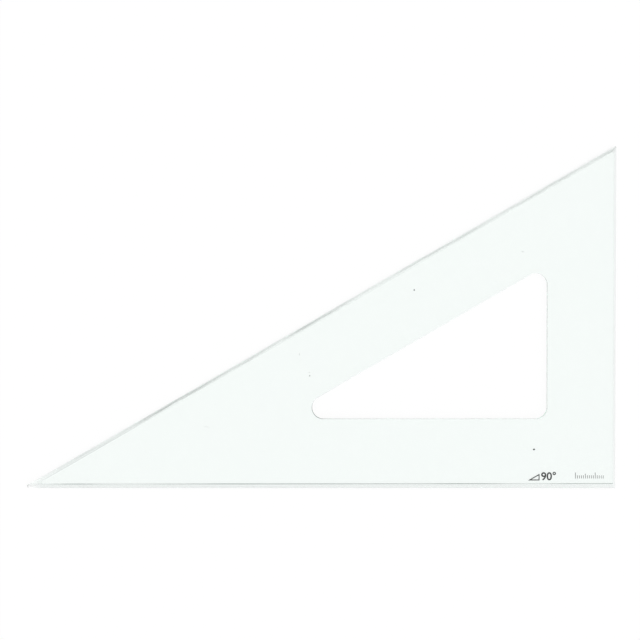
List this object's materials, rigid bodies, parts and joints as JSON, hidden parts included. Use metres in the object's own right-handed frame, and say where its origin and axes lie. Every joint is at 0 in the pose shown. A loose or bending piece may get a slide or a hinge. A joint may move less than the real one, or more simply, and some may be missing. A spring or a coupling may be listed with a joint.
{
  "type": "drafting triangle",
  "caption": "Flat right-angled drafting triangle of clear acrylic with 30 and 60 degree points, bevelled ruling edges and a triangular window.",
  "frame": {"origin": "middle of the outline's bounding box, on the underside", "axes": "+X along the long leg from the 30 degree point to the right angle, +Y along the short leg from the right angle to the 60 degree point, +Z out of the top face, which carries the bevels"},
  "size_m": [0.2976, 0.1726, 0.0025],
  "materials": {
    "clear_acrylic": "clear cast acrylic with a faint green cast, glossy on both faces, milled satin on the edges",
    "print_ink": "flat black screen-printed ink on the top face"
  },
  "bodies": {
    "root": {"triangle_body": "clear_acrylic"}
  },
  "joints": []
}
